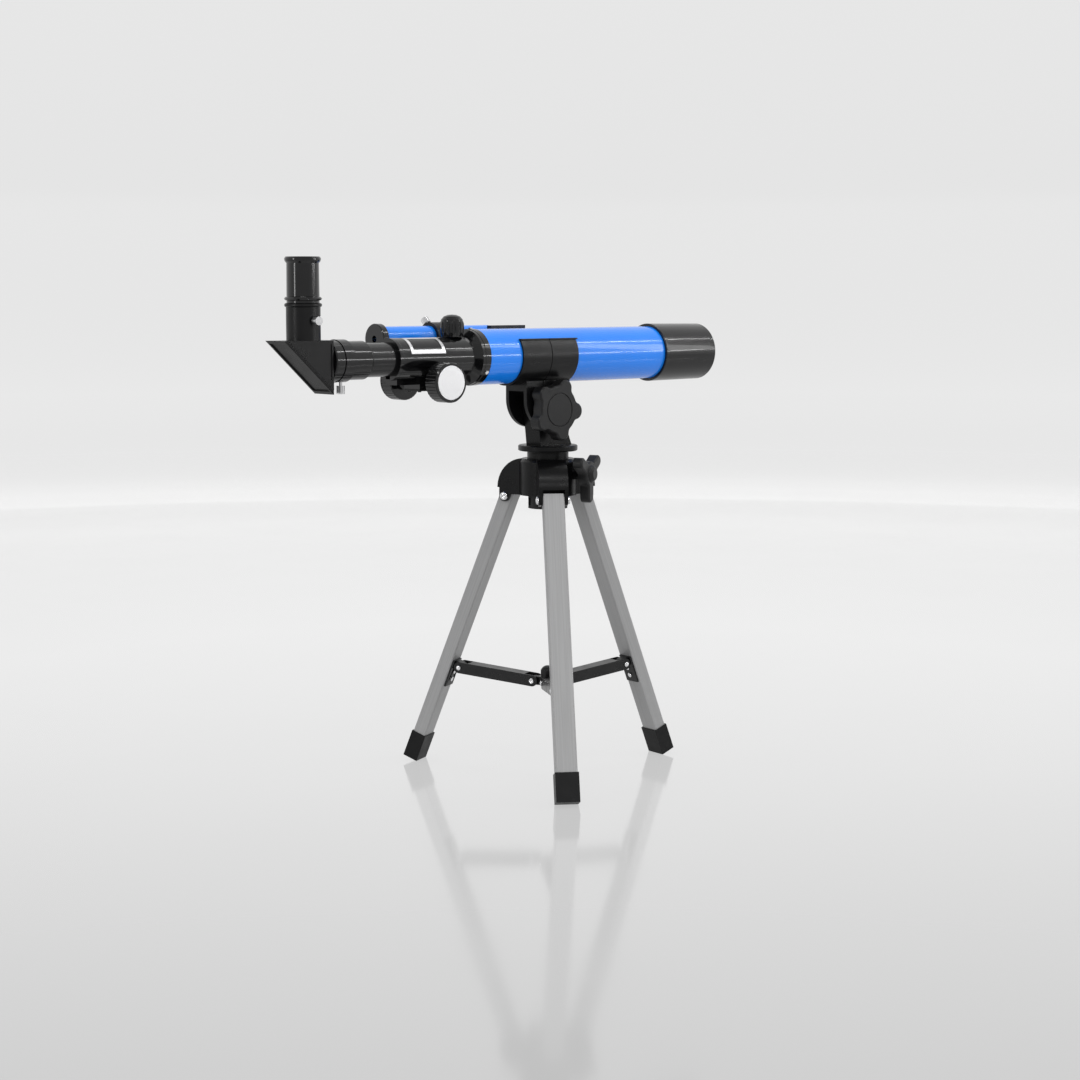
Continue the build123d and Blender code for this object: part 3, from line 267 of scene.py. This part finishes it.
def to_object(mesh, name):
    """Turns a finished bmesh into a smooth-shaded object in the scene."""
    bmesh.ops.recalc_face_normals(mesh, faces=mesh.faces)
    data = bpy.data.meshes.new(name)
    mesh.to_mesh(data)
    mesh.free()
    smooth(data)
    piece = bpy.data.objects.new(name, data)
    scene.collection.objects.link(piece)
    return piece


leg_metal = {}
for number in LEGS:
    joint = next(j for j in frame["joints"] if j["name"] == f"leg_{number}_fold")
    down = middle(f"foot_{number}") - Vector(joint["pos_m"])
    leg_metal[number] = brushed(f"leg_aluminium_{number}", LEG_GREY, 0.42, down, metallic=0.3)

disc_near = spun("knob_disc_near", DISC_SILVER, 0.36, middle("knob_disc_near"))
disc_far = spun("knob_disc_far", DISC_SILVER, 0.36, middle("knob_disc_far"))
by_material = {
    satin: ["hub_skirt", "spreader_hub", "hub_cap", "saddle", "finder_bracket", "diagonal_housing",
            "pinion_cover"],
    shaded_crown_black: ["crown", "pan_head", "diagonal_cover"],
    knob_black: ["tilt_knob", "pan_lock_knob"],
    gloss: ["focuser_body", "draw_collar", "eyepiece", "finder_eyecap", "focus_knob_near",
            "focus_knob_far", "focus_lock_knob", "finder_front_ring", "objective_ring"],
    enamel: ["dew_shield", "objective_cell", "drawtube"],
    channel: [f"brace_{n}" for n in LEGS] + [f"leg_bracket_{n}" for n in LEGS],
    foot_black: [f"foot_{n}" for n in LEGS],
    blue: ["main_tube", "finder_tube"],
    chrome: ["leg_pins", "hub_pins", "collar_screw", "socket_screw", "finder_screw", "diagonal_nose",
             "flange_screws"] + [f"bracket_pins_{n}" for n in LEGS],
    steel: ["tilt_bolt", "tilt_nut", "pan_retainer", "pinion_shaft", "rack"],
    lens: ["objective_lens", "eye_lens", "finder_lens"],
    silver_line: ["label_frame"],
    mirror: ["diagonal_mirror"],
    disc_near: ["knob_disc_near"],
    disc_far: ["knob_disc_far"],
}
for number in LEGS:
    by_material[leg_metal[number]] = [f"leg_{number}"]

# how wide the rounding on each part's edges is, in millimetres; the rest keep sharp edges
ROUNDED = {
    "crown": 0.9, "saddle": 0.5, "pan_head": 0.5, "tilt_knob": 0.5, "pan_lock_knob": 0.6,
    "diagonal_cover": 0.4, "diagonal_housing": 0.4, "pinion_cover": 0.4, "tilt_nut": 0.4,
    "pan_retainer": 0.4, "leg_pins": 0.4, "finder_bracket": 0.4, "dew_shield": 0.3, "main_tube": 0.2,
    "spreader_hub": 0.4, "draw_collar": 0.3, "hub_skirt": 0.5, "hub_cap": 0.4,
}
WELD_DISTANCE = 0.01 * MM
FLAT_ANGLE = math.radians(0.4)
EDGE_ANGLE = math.radians(38)
BEVEL_SEGMENTS = 3
NORMAL_WEIGHT = 60
for number in LEGS:
    ROUNDED[f"foot_{number}"] = 0.9
    ROUNDED[f"leg_{number}"] = 0.3
    ROUNDED[f"brace_{number}"] = 0.4
    ROUNDED[f"leg_bracket_{number}"] = 0.4
    ROUNDED[f"bracket_pins_{number}"] = 0.3

for surface, names in by_material.items():
    for name in names:
        node = nodes[name]
        node.data.materials.clear()
        node.data.materials.append(surface.material)
for name, width in ROUNDED.items():
    node = nodes[name]
    weld = node.modifiers.new("weld", "WELD")
    weld.merge_threshold = WELD_DISTANCE
    flatten = node.modifiers.new("flatten", "DECIMATE")
    flatten.decimate_type = "DISSOLVE"
    flatten.angle_limit = FLAT_ANGLE
    bevel = node.modifiers.new("bevel", "BEVEL")
    bevel.width = width * MM
    bevel.segments = BEVEL_SEGMENTS
    bevel.limit_method = "ANGLE"
    bevel.angle_limit = EDGE_ANGLE
    smooth(node.data)
    normals = node.modifiers.new("normals", "WEIGHTED_NORMAL")
    normals.weight = NORMAL_WEIGHT


# ---- detail pieces ------------------------------------------------------------------------------
def lathe(name, outline, origin, direction, body, segments=40):
    """Turns (radius, height) points, in millimetres, about direction. A radius of 0 closes an end."""
    mesh = bmesh.new()
    rings = []
    for radius, height in outline:
        rings.append(ring(mesh, radius * MM, height * MM, segments if radius else 1))
    for lower, upper in zip(rings, rings[1:]):
        for k in range(segments):
            after = (k + 1) % segments
            corners = [lower[k % len(lower)], lower[after % len(lower)],
                       upper[after % len(upper)], upper[k % len(upper)]]
            mesh.faces.new(list(dict.fromkeys(corners)))
    piece = to_object(mesh, name)
    piece.data.materials.append(chrome.material)
    turn = Vector((0, 0, 1)).rotation_difference(Vector(direction)).to_matrix().to_4x4()
    piece.matrix_world = Matrix.Translation(origin) @ turn
    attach(piece, body)


# domed heads over the plain pin heads, and rolled rivet ends where the braces meet the hub
DOME = [(2.7, -0.2), (2.7, 0.1), (2.45, 0.5), (1.9, 0.85), (1.1, 1.05), (0, 1.1)]
LEG_PIN_DOME = [(4.3, -0.3), (4.3, 0.1), (3.9, 0.7), (3.1, 1.15), (2.2, 1.35), (1.7, 1.3), (1.5, 0.9),
                (0, 0.85)]
ROLLED = [(2.7, -0.3), (2.7, 0.2), (2.4, 0.6), (1.95, 0.75), (1.55, 0.55), (1.35, 0.1), (0, 0.05)]
LEG_PIN_FACE = 16.4 * MM       # from the middle of a leg to the outside of its pin's head
BRACE_PIN_FACE = 9.4 * MM
HUB_PIN_FACE = 9.3 * MM
HUB_PIN_RADIUS = 15.0 * MM
joints = {joint["name"]: joint for joint in frame["joints"]}
hub_height = middle("hub_pins").z
for number in LEGS:
    leg_joint = joints[f"leg_{number}_fold"]
    brace_joint = joints[f"brace_{number}_swing"]
    across = Vector(leg_joint["axis"])
    outward = across.cross(Vector((0, 0, 1)))
    hub_end = outward * HUB_PIN_RADIUS + Vector((0, 0, hub_height))
    for side, word in ((-1, "a"), (1, "b")):
        way = across * side
        leg_end = Vector(leg_joint["pos_m"]) + way * LEG_PIN_FACE
        brace_end = Vector(brace_joint["pos_m"]) + way * BRACE_PIN_FACE
        lathe(f"leg_pin_dome_{number}{word}", LEG_PIN_DOME, leg_end, way, "tripod")
        lathe(f"brace_pin_dome_{number}{word}", DOME, brace_end, way, f"leg_{number}_body")
        lathe(f"hub_rivet_{number}{word}", ROLLED, hub_end + way * HUB_PIN_FACE, way, f"brace_{number}_body")


# ---- stage: round floor that bends up into a wall all the way round ---------------------------------
FLOOR_RADIUS = 3.0
BEND_RADIUS = 3.0
BEND_STEPS = 24
WALL_TOP = 9.0
AROUND = 96
GLOW_REACH = 6.0
# the stage's own light as (distance from the middle in metres, strength), to even out the reflections
GLOW = [(0.0, 0.515), (1.0, 0.49), (2.4, 0.345), (2.95, 0.24), (3.3, 0.46), (3.65, 0.58), (4.1, 0.675),
        (6.0, 0.735)]
DIM_FROM = -3.5                # metres behind the middle where the stage is dimmest
DIMMEST = 0.65


def stage():
    mesh = bmesh.new()
    profile = [(0.5 * k, 0.0) for k in range(1, 7)]
    for k in range(1, BEND_STEPS + 1):
        angle = math.pi / 2 * k / BEND_STEPS
        profile.append((FLOOR_RADIUS + BEND_RADIUS * math.sin(angle), BEND_RADIUS * (1 - math.cos(angle))))
    profile.append((FLOOR_RADIUS + BEND_RADIUS, WALL_TOP))
    rows = [ring(mesh, radius, height, AROUND) for radius, height in profile]
    mesh.faces.new(rows[0])
    for lower, upper in zip(rows, rows[1:]):
        for k in range(AROUND):
            after = (k + 1) % AROUND
            mesh.faces.new((lower[k], lower[after], upper[after], upper[k]))
    floor = to_object(mesh, "floor")
    s = Surface("floor", (0.08, 0.08, 0.08), 0.10)
    s.tint(s.noise(2, 1), 0.99, 1.01).rough(s.noise(6, 2), 0.02)
    s.set(Specular_IOR_Level=0.30, Emission_Color=(1.0, 1.0, 1.0, 1.0))
    reach = s.add("ShaderNodeVectorMath", operation="LENGTH")
    s.join(s.coordinate, reach.inputs[0])
    glow = s.add("ShaderNodeValToRGB")
    while len(glow.color_ramp.elements) < len(GLOW):
        glow.color_ramp.elements.new(0.5)
    for stop, (distance, strength) in zip(glow.color_ramp.elements, GLOW):
        stop.position = distance / GLOW_REACH
        stop.color = (strength, strength, strength, 1.0)
    s.join(s.ranged(reach.outputs["Value"], 0.0, GLOW_REACH, 0.0, 1.0), glow.inputs["Fac"])
    # the side behind the camera is dimmer, so that the black parts stay dark
    depth = s.add("ShaderNodeVectorMath", operation="DOT_PRODUCT")
    depth.inputs[1].default_value = LEVEL_FORWARD
    s.join(s.coordinate, depth.inputs[0])
    dim = s.add("ShaderNodeMath", operation="MULTIPLY")
    s.join(glow.outputs["Color"], dim.inputs[0])
    s.join(s.ranged(depth.outputs["Value"], DIM_FROM, 0.0, DIMMEST, 1.0), dim.inputs[1])
    s.join(dim.outputs["Value"], s.bsdf.inputs["Emission Strength"])
    floor.data.materials.append(s.material)


stage()


def area_light(name, place, target, size, power):
    light = bpy.data.lights.new(name, "AREA")
    light.shape = "RECTANGLE"
    light.size, light.size_y = size
    light.energy = power
    lamp = bpy.data.objects.new(name, light)
    lamp.matrix_world = Matrix.Translation(place) @ aim(Vector(target) - Vector(place))
    scene.collection.objects.link(lamp)


WORLD_STRENGTH = 0.50
TARGET = (0.0, 0.0, 0.40)
STREAK_X = 1.7                 # the two streaks lie along the tube, so that it mirrors them as thin lines
STREAK_TARGET = (STREAK_X, 0.0, 0.44)
world = bpy.data.worlds.new("world")
world.use_nodes = True
background = world.node_tree.nodes["Background"]
background.inputs["Color"].default_value = (1.0, 1.0, 1.0, 1.0)
background.inputs["Strength"].default_value = WORLD_STRENGTH
scene.world = world
area_light("key", (-1.3, -1.5, 2.4), TARGET, (1.6, 0.10), 13)
area_light("front", (-0.7, -2.6, 1.35), TARGET, (1.8, 0.07), 8)
area_light("left", (-2.6, 0.2, 1.2), TARGET, (0.3, 1.6), 11)
area_light("right", (1.9, -1.6, 1.3), TARGET, (0.25, 1.4), 5)
area_light("streak_high", (STREAK_X, -1.15, 1.97), STREAK_TARGET, (1.9, 0.06), 8)
area_light("streak_low", (STREAK_X, -1.90, 0.64), STREAK_TARGET, (1.6, 0.04), 5)
area_light("top", (0.3, 0.4, 2.4), TARGET, (1.6, 0.6), 12)
